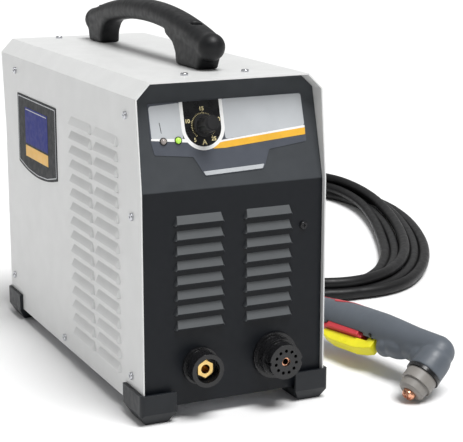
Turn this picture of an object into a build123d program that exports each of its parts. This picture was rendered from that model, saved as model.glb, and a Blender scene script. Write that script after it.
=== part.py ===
from build123d import *
import math
import os

# A plasma cutter with a built-in compressor, its hand torch and the torch lead. Millimetres, +Z up,
# front towards -Y. Sizes are measured from the middle of the casing and from the floor. Each piece
# is then moved by ORIGIN, which puts the origin on the floor under the middle of the unit and torch.
ORIGIN = (-65.9, 26.65, 0)

# Casing: the upper part of its front and rear edges leans back
WIDTH = 200
DEPTH = 440
HEIGHT = 337
FLOOR_GAP = 14
SHEET = 1.5
CHAMFER = 15
KINK_Z = 232
EDGE_LEAN = 12
GAP = 0.3

# Front and rear panels
PANEL = 2.5
FRONT_Y = -215
REAR_Y = 214
PANEL_BOTTOM = 15
PANEL_TOP = HEIGHT - SHEET - GAP
FRONT_SLOPE = 25 / 93
REAR_SLOPE = 12 / 105
FLANGE_X = 96.4
FLANGE_Z = (62, 316)
TRAY_WALL_Z = 60

# Louvres: width, height, and how far they stand out
FRONT_LOUVRE = (55, 9.5, 4)
FRONT_PITCH = 15
FRONT_ROWS = 8
FRONT_COLUMNS_X = (-37.5, 37.5)
FRONT_FIRST_Z = 93
SIDE_LOUVRE = (68, 9.5, 3.5)
SIDE_PITCH = 15.5
SIDE_ROWS = 16
SIDE_COLUMNS_Y = (-128, -52.5)
SIDE_FIRST_Z = 38

# Screws in the casing, as (y, z) on each side and (x, y) on the top
SIDE_SCREWS = ((-184, 304), (-197, 207), (-190, 43.5), (15.5, 24), (203, 50.5), (174, 306))
TOP_SCREWS = ((-33, -171), (33, -171), (-33, 211), (33, 211))
SCREW_R = 2
SCREW_HOLE_R = 2.3
SIDE_SHANK = 4.2
SHANK = 7

# Handle
HANDLE_X = 6
HANDLE_Y = 17
HANDLE_WIDTH = 27
HANDLE_TOP = 396
GRIP_DEPTH = 23
GRIP_BOW = 590
NOSE_AT = 166
# each leg's outline, from its foot up into the bar
HANDLE_LEGS = (
    ((-140, 337), (-84, 337), (-82, 349), (-74, 358.5), (-54, 366), (-54, 373), (-146, 366), (-148, 352)),
    ((140, 337), (181, 337), (184, 352), (176, 364), (116, 372), (118, 366), (131, 359), (138, 350)),
)
HANDLE_SCREWS = (-112, 160)
BOLT_R = 3
BOLT_HOLE_R = 3.4

# Controls on the leaning front, as (across, up the slope from the kink)
LABEL = 0.5
KNOB_AT = (-25.5, 61)
GREEN_LED_AT = (-53.5, 48.5)
AMBER_LED_AT = (-69, 48.5)
LED_R = 3
SHAFT_R = 3
RUNNING = 0.05
KNOB_R = 11.2
KNOB_TOP = 23

# Sockets in the lower front, as (x, z)
EARTH_AT = (-37.5, 53.5)
TORCH_AT = (45, 53)
EARTH_BORE_R = 4.6
TORCH_BORE_R = 3.2

# Rear, as (x, z)
FAN_AT = (24, 148)
FAN_SIZE = 120
FAN_DEPTH = 25
SWITCH_AT = (-72, 190)
ROCKER_TILT = 9
GLAND_AT = (-72, 120)
GLAND_BORE_R = 5.2

# Inside
SHELF_Z = 184
CRANK_Z = 82
CRANK_R = 6
MOTOR_FRONT = 2.4

# Torch: where its elbow is, and how it lies
ELBOW = (217.2, -259.7, 45.4)
TORCH_YAW = 100
TORCH_DIP = 2.9
TORCH_ROLL = 52.7
HEAD_ANGLE = 93
HEAD_R = 18.6
HEAD_END = 31
# distance behind the elbow, half width, half height, middle
HANDLE_SECTIONS = (
    (0, 16.5, 17, 0),
    (40, 17, 17.8, 0),
    (95, 18, 20.5, 3),
    (155, 17.5, 20.5, 4.5),
    (205, 16, 18, 4),
    (240, 12.5, 13, 0.5),
)
SHELL_WALL = 2.5
INSERT = 1.5
SLOT = (80, 186, 8.6)
WIDE_SLOT = (105, 170, 11.2)
RIM = ((107, -17), (124, -12.6), (140, -11.3), (156, -11.6), (171, -14), (171, -40), (107, -40))
GUARD = ((48, -12), (80, -12), (80, -25.5), (72, -25), (54, -19))
GUSSET = ((14, -10), (42, -12), (33, -19), (24, -26), (16, -30))
LEVER_PIVOT = (92, -13)
TRIGGER_PIVOT = (177, -12)
LEVER_HALF = 6.6
PIN_R = 1.5
BOOT = (232, 278)

# Torch lead: the corners of its route, and its coil
LEAD_R = 7.5
LEAD_STRAIGHT = 30
LEAD_ROUTE = ((170, 67, 26), (187, 87, 19), (211, 98, 13), (238, 98, 9.5), (260, 90, 8.3))
COIL_AT = (404, 378)
COIL_TURN = -24.8
COIL_OUTER = (172, 344)
COIL_INNER = (96, 262)
COIL_HEIGHT = 44
TAIL_ROUTE = ((284, 500, 33), (240, 458, 12), (208, 420, 9), (160, 392, 14), (116, 378, 19.5))
PLUG_R = 19

UPPER = Plane(origin=(0, FRONT_Y, KINK_Z), x_dir=(1, 0, 0), z_dir=(0, -1, FRONT_SLOPE))
TORCH = Pos(*ELBOW) * Rot(0, 0, TORCH_YAW) * Rot(0, TORCH_DIP, 0) * Rot(TORCH_ROLL, 0, 0)
NOZZLE = Rot(0, 90 + HEAD_ANGLE, 0)
TAIL_END = Vector(*TAIL_ROUTE[-1])
PLUG = Plane(origin=TAIL_END, z_dir=TAIL_END - Vector(*TAIL_ROUTE[-2])).location


def save(name, *shapes):
    """Writes a piece, or a group of alike pieces, at its place in the shared frame."""
    solids = [solid for shape in shapes for solid in (Pos(*ORIGIN) * shape).solids()]
    export_step(solids[0] if len(solids) == 1 else Compound(children=solids), f"parts/{name}.step")


def box(x0, x1, y0, y1, z0, z1):
    """A block between two corners."""
    middle = Pos((x0 + x1) / 2, (y0 + y1) / 2, (z0 + z1) / 2)
    return middle * Box(x1 - x0, y1 - y0, z1 - z0)


def rod(radius, start, end):
    """A round bar between two points."""
    line = Vector(*end) - Vector(*start)
    return extrude(Plane(origin=start, z_dir=line) * Circle(radius), line.length)


def y_rod(radius, at, y0, y1):
    """A round bar parallel to Y, at = (x, z)."""
    return rod(radius, (at[0], y0, at[1]), (at[0], y1, at[1]))


def y_hexagon(radius, at, y0, y1):
    """A hexagonal bar parallel to Y, at = (x, z)."""
    plane = Plane(origin=(at[0], y0, at[1]), z_dir=(0, 1, 0))
    return extrude(plane * RegularPolygon(radius, 6), y1 - y0)


def upper_rod(radius, at, low, high):
    """A round bar square to the leaning front panel, between two heights over its face."""
    return extrude(UPPER.offset(low) * Pos(*at) * Circle(radius), high - low)


def prism(plane, points, length):
    """A closed outline on a plane, pushed along the plane's normal."""
    return extrude(plane * make_face(Polyline(*points, close=True)), length)


def casing_prism(inset, bottom):
    """The casing's outline from the front, inset from its outer face, as a block longer than it."""
    half = WIDTH / 2
    slip = CHAMFER + inset * math.tan(math.radians(22.5))
    right = [
        (half - inset, bottom),
        (half - inset, HEIGHT - slip),
        (half - slip, HEIGHT - inset),
    ]
    left = [(-x, z) for x, z in reversed(right)]
    return prism(Plane.XZ.offset(-DEPTH), right + left, 2 * DEPTH)


def side_prism(points, half):
    """An outline of (y, z) points, as wide as half each side of the middle."""
    return prism(Plane.YZ.offset(-half), points, 2 * half)


def hood(size):
    """The outside of a pressed louvre on z = 0: it is open along y = 0 and narrows upwards."""
    width, height, out = size
    back = [(-width / 2, 0), (width / 2, 0), (width / 2 - 4, height), (4 - width / 2, height)]
    lip = [(2 - width / 2, 0), (width / 2 - 2, 0), (width / 2 - 3, 1.5), (3 - width / 2, 1.5)]
    faces = [make_face(Polyline(*outline, close=True)) for outline in (back, lip)]
    return loft([faces[0], Pos(0, 0, out) * faces[1]])


def hollow(size, wall):
    """What is pressed and cut away behind a louvre, through a wall of this thickness."""
    width, height, out = size
    low = -1
    back = [(1.5 - width / 2, low), (width / 2 - 1.5, low)]
    back += [(width / 2 - 5.5, height - 1.6), (5.5 - width / 2, height - 1.6)]
    lip = [(3.2 - width / 2, low), (width / 2 - 3.2, low)]
    lip += [(width / 2 - 4, 0.5), (4 - width / 2, 0.5)]
    faces = [make_face(Polyline(*outline, close=True)) for outline in (back, lip)]
    front = loft([faces[0], Pos(0, 0, out - 1) * faces[1]])
    return front + extrude(Pos(0, 0, -wall - 1) * faces[0], wall + 1)


def louvred(sheet, size, planes, wall):
    """A sheet with a louvre on each plane."""
    sheet = sheet + [plane.location * hood(size) for plane in planes]
    return sheet - [plane.location * hollow(size, wall) for plane in planes]


def side_planes(places):
    """Planes on both sides of the casing at (y, z) places, with their normals outwards."""
    planes = []
    for y, z in places:
        for side in (-1, 1):
            centre = (side * WIDTH / 2, y, z)
            planes.append(Plane(origin=centre, x_dir=(0, side, 0), z_dir=(side, 0, 0)))
    return planes


def casing():
    """The cover, both panels and the tray that they are screwed to."""
    front = -DEPTH / 2
    rear = DEPTH / 2
    outline = [
        (front, FLOOR_GAP),
        (front, KINK_Z),
        (front + EDGE_LEAN, HEIGHT),
        (rear + EDGE_LEAN, HEIGHT),
        (rear, KINK_Z),
        (rear, FLOOR_GAP),
    ]
    cover = casing_prism(0, FLOOR_GAP) & side_prism(outline, WIDTH)
    cover = cover - casing_prism(SHEET, 0)
    rows = [SIDE_FIRST_Z + SIDE_PITCH * row for row in range(SIDE_ROWS)]
    places = [(y, z) for y in SIDE_COLUMNS_Y for z in rows]
    cover = louvred(cover, SIDE_LOUVRE, side_planes(places), SHEET)
    side_holes = [rod(SCREW_HOLE_R, (-WIDTH, y, z), (WIDTH, y, z)) for y, z in SIDE_SCREWS]
    top_holes = [rod(SCREW_HOLE_R, (x, y, 320), (x, y, 350)) for x, y in TOP_SCREWS]
    bolt_holes = [rod(BOLT_HOLE_R, (x, y, 320), (x, y, 350)) for x, y in handle_bolts()]
    save("cover_shell", cover - side_holes - top_holes - bolt_holes)

    tray = box(-97.9, 97.9, -212.2, 213.7, FLOOR_GAP, FLOOR_GAP + SHEET)
    for side in (-1, 1):
        x0, x1 = sorted((side * FLANGE_X, side * (FLANGE_X + SHEET)))
        tray = tray + box(x0, x1, -212.2, 213.7, FLOOR_GAP, TRAY_WALL_Z)
    foot_holes = [rod(2.7, (x, y, 0), (x, y, 40)) for x, y in foot_places()]
    save("base_tray", tray - side_holes - foot_holes)
    front_panel(side_holes, top_holes)
    rear_panel(side_holes, top_holes)
    fasteners()


def panel_sheet(face_y, slope, inwards):
    """A panel that stands up to the kink and leans back over it, from its outer face inwards."""
    outline = []
    for y in (face_y, face_y + inwards * PANEL):
        rise = PANEL_TOP - KINK_Z
        side = [(y, PANEL_BOTTOM), (y, KINK_Z), (y + slope * rise, PANEL_TOP)]
        outline += side if not outline else reversed(side)
    return side_prism(outline, WIDTH) & casing_prism(SHEET + GAP, 0)


def flanges(y0, y1, top_y0, top_y1):
    """The turned edges of a panel that the casing screws go into."""
    walls = box(-80, 80, top_y0, top_y1, PANEL_TOP - SHEET, PANEL_TOP)
    for side in (-1, 1):
        x0, x1 = sorted((side * FLANGE_X, side * (FLANGE_X + SHEET)))
        walls = walls + box(x0, x1, y0, y1, *FLANGE_Z)
    return walls


def front_panel(side_holes, top_holes):
    """The front: a leaning control face over a louvred lower face with the two sockets."""
    sheet = panel_sheet(FRONT_Y, FRONT_SLOPE, 1)
    behind = [(-230, 0), (FRONT_Y, 0), (FRONT_Y, KINK_Z), (-187, PANEL_TOP + 1), (-230, 340)]
    edges = flanges(-213, -172, -190, -158) - side_prism(behind, WIDTH)
    sheet = sheet + edges
    planes = []
    for x in FRONT_COLUMNS_X:
        for row in range(FRONT_ROWS):
            centre = (x, FRONT_Y, FRONT_FIRST_Z + FRONT_PITCH * row)
            planes.append(Plane(origin=centre, x_dir=(1, 0, 0), z_dir=(0, -1, 0)))
    sheet = louvred(sheet, FRONT_LOUVRE, planes, PANEL)
    sheet = sheet - y_rod(15.3, EARTH_AT, -230, -200)
    sheet = sheet - y_rod(18.3, TORCH_AT, -230, -200)
    sheet = sheet - y_rod(SCREW_HOLE_R, (77, 185), -230, -200)
    sheet = sheet - upper_rod(4, KNOB_AT, -10, 10)
    for at in (GREEN_LED_AT, AMBER_LED_AT):
        sheet = sheet - upper_rod(LED_R + 0.1, at, -10, 10)
    save("front_panel", sheet - side_holes - top_holes)


def rear_panel(side_holes, top_holes):
    """The rear: fan opening, mains switch and gland, and slots low down for the compressor."""
    outer = REAR_Y + PANEL
    sheet = panel_sheet(outer, REAR_SLOPE, -1)
    sheet = sheet + flanges(165, REAR_Y + 1, 198, REAR_Y + 12)
    sheet = sheet - y_rod(56, FAN_AT, 200, 240)
    sheet = sheet - box(SWITCH_AT[0] - 10.3, SWITCH_AT[0] + 10.3, 205, 240, 175, 205)
    sheet = sheet - y_rod(8.3, GLAND_AT, 205, 240)
    for row in range(4):
        z = 30 + 12 * row
        sheet = sheet - box(-50, 50, 205, 240, z, z + 4)
    save("rear_panel", sheet - side_holes - top_holes)


def foot_places():
    """The middles of the four feet."""
    return [(x, y) for x in (-84, 84) for y in (-200, 200)]


def handle_bolts():
    """Where the two handle bolts go down into the cover."""
    return [(HANDLE_X, y) for y in HANDLE_SCREWS]


def feet():
    """Moulded feet that wrap the bottom corners: upright above, drawn in below."""
    foot = box(-104, -66, -223.5, -174, 0, 32)
    low = foot.edges().group_by(Axis.Z)[0]
    foot = chamfer(low, 12, 7)
    corner = foot.edges().filter_by(Axis.Z).sort_by(lambda edge: edge.center().X + edge.center().Y)
    foot = fillet(corner[0], 5)
    foot = foot - box(-100.2, 0, -220.2, 0, FLOOR_GAP - 0.1, 60)
    foot = foot - rod(2.7, (-84, -200, -1), (-84, -200, 60)) - rod(5.2, (-84, -200, -1), (-84, -200, 5))
    four = [foot, mirror(foot, Plane.YZ), mirror(foot, Plane.XZ)]
    four.append(mirror(four[1], Plane.XZ))
    save("corner_feet", *four)


def pan_screw(length):
    """A pan head screw: its head stands on z = 0 and its shank goes down."""
    head = fillet(Cylinder(3.9, 2.6, align=(Align.CENTER, Align.CENTER, Align.MIN)).edges()[0], 1.2)
    cross = Pos(0, 0, 2.2) * (Box(4.4, 1, 1.6) + Box(1, 4.4, 1.6))
    return head - cross + rod(SCREW_R, (0, 0, 0), (0, 0, -length))


def socket_bolt(radius, head_r, head, length):
    """A socket head bolt: its head stands on z = 0 and its shank goes down."""
    top = rod(head_r, (0, 0, 0), (0, 0, head))
    recess = extrude(Pos(0, 0, head - 3) * RegularPolygon(head_r * 0.5, 6), 3)
    return top - recess + rod(radius, (0, 0, 0), (0, 0, -length))


def fasteners():
    """The screws of the casing, the feet, the handle and the front."""
    side = pan_screw(SIDE_SHANK)
    save("side_screws", *[plane.location * side for plane in side_planes(SIDE_SCREWS)])
    save("top_screws", *[Pos(x, y, HEIGHT) * pan_screw(SHANK) for x, y in TOP_SCREWS])
    bolts = [Pos(x, y, 374) * socket_bolt(BOLT_R, 5, 5.5, 50) for x, y in handle_bolts()]
    upside = Rot(180, 0, 0)
    bolts += [Pos(x, y, 5) * upside * socket_bolt(2.5, 4.5, 4, 16) for x, y in foot_places()]
    front = Plane(origin=(77, FRONT_Y, 185), z_dir=(0, -1, 0)).location
    save("black_screws", *bolts, front * pan_screw(SHANK))


def handle():
    """The carrying handle: one moulding, a bowed bar with round noses on two legs."""
    bow = HANDLE_TOP - GRIP_DEPTH / 2 - GRIP_BOW
    end = math.degrees(math.asin(NOSE_AT / GRIP_BOW))
    section = Pos(0, GRIP_BOW) * RectangleRounded(HANDLE_WIDTH, GRIP_DEPTH, 9.5)
    across = Plane(origin=(0, 0, 0), x_dir=(1, 0, 0), z_dir=(0, -1, 0))
    bar = revolve(Rot(-end, 0, 0) * (across * section), Axis.X, 2 * end)
    legs = []
    for side in (-1, 1):
        drop = GRIP_BOW * math.cos(math.radians(end))
        bar = bar + Pos(0, side * NOSE_AT, drop) * Rot(0, 90, 0) * Sphere(HANDLE_WIDTH / 2 + 1)
    for outline in HANDLE_LEGS:
        legs.append(extrude(Plane.YZ.offset(HANDLE_X - 12) * make_face(Polyline(*outline, close=True)), 24))
    grip = Pos(HANDLE_X, HANDLE_Y, bow) * bar + legs
    for x, y in handle_bolts():
        grip = grip - rod(BOLT_HOLE_R, (x, y, 330), (x, y, 400)) - rod(6, (x, y, 374), (x, y, 410))
    save("handle_grip", grip)


def controls():
    """The label, the current knob on its potentiometer, the lamps and their board."""
    outline = Polyline(
        (-81.5, 85.5), (84, 87), (85, 53), (84.6, 38), (42.5, 33), (36.5, 18.5), (33.5, 14),
        (-29, 12), (-39.5, 31.5), (-79.5, 36), (-82.2, 51),
        close=True,
    )
    label = extrude(UPPER * make_face(outline), LABEL)
    label = fillet(label.edges().filter_by(lambda edge: abs(edge.length - LABEL) < 0.01), 2)
    label = label - upper_rod(4, KNOB_AT, -1, 1)
    for name, at in (("power_led", GREEN_LED_AT), ("fault_led", AMBER_LED_AT)):
        label = label - upper_rod(LED_R + 0.1, at, -1, 1)
        dome = UPPER.location * Pos(*at, 0.6) * Sphere(LED_R)
        save(name, upper_rod(LED_R, at, -13.9, 0.6) + dome)
    save("control_label", label)

    body = upper_rod(8.5, KNOB_AT, -13.9, -5) + upper_rod(3.8, KNOB_AT, -5, 1.4)
    save("potentiometer", body - upper_rod(SHAFT_R + RUNNING, KNOB_AT, -11, 3))
    save("potentiometer_shaft", upper_rod(SHAFT_R, KNOB_AT, -10.8, 16))
    grip = UPPER.location * Pos(*KNOB_AT, (KNOB_TOP + 5) / 2) * Cone(9, 7.6, KNOB_TOP - 5)
    knob = upper_rod(KNOB_R, KNOB_AT, 1.8, 5) + grip
    for flute in range(12):
        turn = math.radians(30 * flute + 15)
        at = (KNOB_AT[0] + 9.6 * math.cos(turn), KNOB_AT[1] + 9.6 * math.sin(turn))
        knob = knob - upper_rod(1.6, at, 5, KNOB_TOP + 1)
    save("current_knob", knob - upper_rod(SHAFT_R + 0.02, KNOB_AT, 0, 16.2))
    save("knob_cap", upper_rod(6, KNOB_AT, KNOB_TOP, KNOB_TOP + 0.8))

    board = UPPER.location * box(-80, 0, 28, 84, -15.6, -14)
    for x in (-76, -4):
        for y in (32, 80):
            board = board + upper_rod(3, (x, y), -14, -2.6)
    save("control_board", board)


def badges():
    """A plain badge on each side, with a bowed lower edge."""
    outline = make_face(
        [
            Line((27, 281), (167, 281)),
            Line((167, 281), (167, 200)),
            ThreePointArc((167, 200), (97, 191), (27, 200)),
            Line((27, 200), (27, 281)),
        ]
    )
    right = extrude(Plane.YZ.offset(WIDTH / 2) * outline, 0.8)
    save("side_badges", right, mirror(right, Plane.YZ))


def sockets():
    """The earth socket and the torch's central socket, with the valve that feeds it."""
    front = FRONT_Y
    earth = y_rod(19, EARTH_AT, front - 4, front) + y_rod(17, EARTH_AT, front - 21, front - 4)
    earth = earth + y_rod(15, EARTH_AT, front, front + 12)
    earth = earth - y_rod(12.5, EARTH_AT, front - 30, front - 9) - y_rod(8.6, EARTH_AT, -260, -190)
    save("earth_socket_housing", earth)
    insert = y_hexagon(9.3, EARTH_AT, front - 14, front - 9)
    insert = insert + y_rod(8.5, EARTH_AT, front - 9, front + 20)
    save("earth_socket_insert", insert - y_rod(EARTH_BORE_R, EARTH_AT, -260, front + 16))
    nut = y_hexagon(19, EARTH_AT, front + PANEL + 0.1, front + PANEL + 6)
    save("earth_socket_nut", nut - y_rod(15.1, EARTH_AT, -260, -190))

    torch = y_rod(24, TORCH_AT, front - 4, front) + y_rod(20.5, TORCH_AT, front - 16, front - 4)
    torch = torch + y_rod(18, TORCH_AT, front - 28, front - 16)
    torch = torch + y_rod(18, TORCH_AT, front, front + 22)
    torch = torch - y_rod(4.6, TORCH_AT, -260, -180)
    for hole in range(11):
        turn = math.radians(360 / 11 * hole + 90)
        at = (TORCH_AT[0] + 11.5 * math.cos(turn), TORCH_AT[1] + 11.5 * math.sin(turn))
        torch = torch - y_rod(1.7, at, front - 29, front - 14)
    for side in (-1, 1):
        at = (TORCH_AT[0] + side * 18.6, TORCH_AT[1])
        torch = torch - y_rod(2.2, at, front - 29, front - 16)
    save("torch_socket_housing", torch)
    tube = y_rod(4.5, TORCH_AT, front - 26, -172) - y_rod(TORCH_BORE_R, TORCH_AT, -260, -174)
    save("torch_socket_tube", tube)
    valve = box(31, 59, -172, -132, 35, 71) + rod(11, (45, -150, 71), (45, -150, 96))
    save("solenoid_valve", valve)


def rear_fittings():
    """The fan with its guard, the mains switch, and the gland for the mains cable."""
    x, z = FAN_AT
    half = FAN_SIZE / 2
    y1 = REAR_Y - GAP
    y0 = y1 - FAN_DEPTH
    frame = box(x - half, x + half, y0, y1, z - half, z + half) - y_rod(57.5, FAN_AT, y0 - 1, y1 + 1)
    spokes = box(x - 59, x + 59, y0, y0 + 4, z - 3, z + 3)
    spokes = spokes + box(x - 3, x + 3, y0, y0 + 4, z - 59, z + 59)
    frame = frame + spokes + y_rod(21, FAN_AT, y0, y0 + 4)
    save("fan_frame", frame - y_rod(2 + RUNNING, FAN_AT, y0 - 1, y0 + 6))
    rotor = y_rod(20, FAN_AT, y0 + 5, y1 - 2) + y_rod(2, FAN_AT, y0, y0 + 5)
    for blade in range(7):
        fin = Box(40, 2, 24, align=(Align.MIN, Align.CENTER, Align.CENTER))
        spot = Pos(x, (y0 + y1) / 2 + 2, z) * Rot(0, 360 / 7 * blade, 0) * Pos(16, 0, 0)
        rotor = rotor + spot * Rot(38, 0, 0) * fin
    reach = y_rod(55, FAN_AT, y0 + 4.6, y1 - 0.5)
    save("fan_rotor", rotor & (reach + y_rod(2, FAN_AT, y0, y0 + 5)))

    wire = 1.2
    y = REAR_Y + PANEL + wire
    face = Plane(origin=(x, y, z), z_dir=(0, 1, 0)).location
    guard = face * Torus(56, wire)
    for ring in (44, 32, 20):
        guard = guard + face * Torus(ring, wire)
    for turn in (45, 135):
        reach_x = 72 * math.cos(math.radians(turn))
        reach_z = 72 * math.sin(math.radians(turn))
        guard = guard + rod(wire, (x - reach_x, y, z - reach_z), (x + reach_x, y, z + reach_z))
    save("fan_guard", guard + y_rod(14, FAN_AT, y - wire, y + wire))

    mains_switch()
    x, z = GLAND_AT
    outer = REAR_Y + PANEL
    gland = y_hexagon(11, GLAND_AT, outer, outer + 6) + y_rod(9.6, GLAND_AT, outer + 6, outer + 17)
    gland = gland + y_rod(8.2, GLAND_AT, outer - 12, outer) - y_rod(GLAND_BORE_R, GLAND_AT, 180, 260)
    lock = y_hexagon(11, GLAND_AT, outer - 8, outer - PANEL - 0.1) - y_rod(8.25, GLAND_AT, 180, 260)
    save("cable_gland", gland, lock)


def mains_switch():
    """A rocker switch, with the rocker on its own pins."""
    x, z = SWITCH_AT
    outer = REAR_Y + PANEL
    body = box(x - 13, x + 13, outer, outer + 2, z - 18, z + 18)
    body = body + box(x - 10, x + 10, outer - 20, outer, z - 14.5, z + 14.5)
    body = body - box(x - 7, x + 7, outer - 12, outer + 3, z - 12.8, z + 12.8)
    pivot_y = outer - 1
    pin_hole = rod(PIN_R + RUNNING, (x - 9, pivot_y, z), (x + 9, pivot_y, z))
    save("mains_switch_body", body - pin_hole)
    profile = [(-6, -10.6), (-6, 10.6), (6, 10.6), (3.4, 0), (6, -10.6)]
    rocker = prism(Plane(origin=(-6.6, 0, 0), x_dir=(0, 1, 0), z_dir=(1, 0, 0)), profile, 13.2)
    rocker = rocker + rod(PIN_R, (-8.8, 0, 0), (8.8, 0, 0))
    save("mains_rocker", Pos(x, pivot_y, z) * Rot(ROCKER_TILT, 0, 0) * rocker)


def compressor():
    """The compressor on its rubber mounts: motor, crankcase with finned barrel, head, shaft and fan."""
    z = CRANK_Z
    feet_at = [(x, y) for x in (-52, 52) for y in (-62, 70)]
    mounts = [rod(9, (x, y, FLOOR_GAP + SHEET), (x, y, 34)) for x, y in feet_at]
    save("rubber_mounts", *mounts)
    case = box(-64, 64, -76, 84, 34, 37) + box(-36, 36, -62, MOTOR_FRONT - GAP, 37, 112)
    for step in range(4):
        case = case + rod(36, (0, -34, 116 + 7 * step), (0, -34, 119 + 7 * step))
    case = case + rod(28, (0, -34, 110), (0, -34, 142))
    case = case - box(-29, 29, -56, -12, 50, 108) - y_rod(CRANK_R + RUNNING, (0, z), -70, 10)
    save("compressor_crankcase", case)
    head = rod(36, (0, -34, 142), (0, -34, 150)) + rod(27, (0, -34, 150), (0, -34, 160))
    head = head + box(20, 38, -41, -27, 142, 156)
    save("compressor_head", head)
    motor = y_rod(42, (0, z), MOTOR_FRONT, 92) + box(-30, 30, 4, 80, 37.1, 60)
    save("compressor_motor", motor - y_rod(CRANK_R + RUNNING, (0, z), -10, 100))
    shaft = y_rod(CRANK_R, (0, z), -66, 122) + y_rod(20, (0, z), -50, -40)
    save("compressor_shaft", shaft + y_rod(4, (0, z + 11), -40, -28))
    fan = y_rod(12, (0, z), 98, 118)
    for blade in range(6):
        fin = Box(30, 2, 18, align=(Align.MIN, Align.CENTER, Align.CENTER))
        fan = fan + Pos(0, 108, z) * Rot(0, 60 * blade, 0) * Pos(9, 0, 0) * Rot(35, 0, 0) * fin
    save("compressor_fan", fan - y_rod(CRANK_R + 0.02, (0, z), 90, 130))
    route = [(38, -34, 149), (72, -34, 149), (72, -120, 140), (45, -150, 125), (45, -150, 96)]
    radii = corner_radii(route)
    path = FilletPolyline(*route, radius=radii)
    save("air_hose", sweep(Plane(origin=route[0], z_dir=(1, 0, 0)) * Circle(4), path))


def electronics():
    """The shelf over the compressor, and what stands on it."""
    shelf = box(-95.5, 95.5, -168, 184, SHELF_Z - SHEET, SHELF_Z)
    for side in (-1, 1):
        x0, x1 = sorted((side * 94, side * 95.5))
        shelf = shelf + box(x0, x1, -168, 162, FLOOR_GAP + SHEET, SHELF_Z - SHEET)
    save("chassis_shelf", shelf)
    sink = box(-90, -14, -118, 110, SHELF_Z, SHELF_Z + 8)
    for fin in range(10):
        x = -89 + 8 * fin
        sink = sink + box(x, x + 2, -118, 110, SHELF_Z + 8, SHELF_Z + 42)
    save("heatsink", sink)
    low = SHELF_Z + 46
    board = box(-92, 20, -126, 122, low, low + 1.6)
    for y in (-90, -50, -10):
        board = board + rod(15, (-62, y, low + 1.6), (-62, y, low + 44))
    for x, y in ((-88, -122), (-88, 118), (16, -122), (16, 118)):
        board = board + rod(3, (x, y, SHELF_Z), (x, y, low))
    board = board + box(-30, 8, 20, 80, low + 1.6, low + 22)
    save("power_board", board)
    core = box(30, 86, -62, 6, SHELF_Z, SHELF_Z + 62) - box(42, 74, -80, 20, SHELF_Z + 14, SHELF_Z + 48)
    save("main_transformer", core, box(42.2, 73.8, -56, 0, SHELF_Z + 14.2, SHELF_Z + 47.8))
    ring = Pos(58, 62, SHELF_Z + 32) * Rot(0, 90, 0)
    save("output_choke", ring * (Cylinder(31.5, 24) - Cylinder(15, 30)))


def section_loft(inset, first, last):
    """The torch handle's skin, inset, between two of its sections."""
    faces = []
    for x, half_width, half_height, middle in HANDLE_SECTIONS[first:last]:
        plane = Plane(origin=(x, 0, middle), x_dir=(0, 1, 0), z_dir=(1, 0, 0))
        faces.append(plane * Ellipse(half_width - inset, half_height - inset))
    return loft(faces)


def torch_block(points, half_width):
    """An outline of (along, up) points in the torch's middle plane, half_width to each side."""
    return prism(Plane.XZ.offset(-half_width), points, 2 * half_width)


def cross_pin(radius, at, half_length):
    """A pin across the torch."""
    return rod(radius, (at[0], -half_length, at[1]), (at[0], half_length, at[1]))


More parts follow.
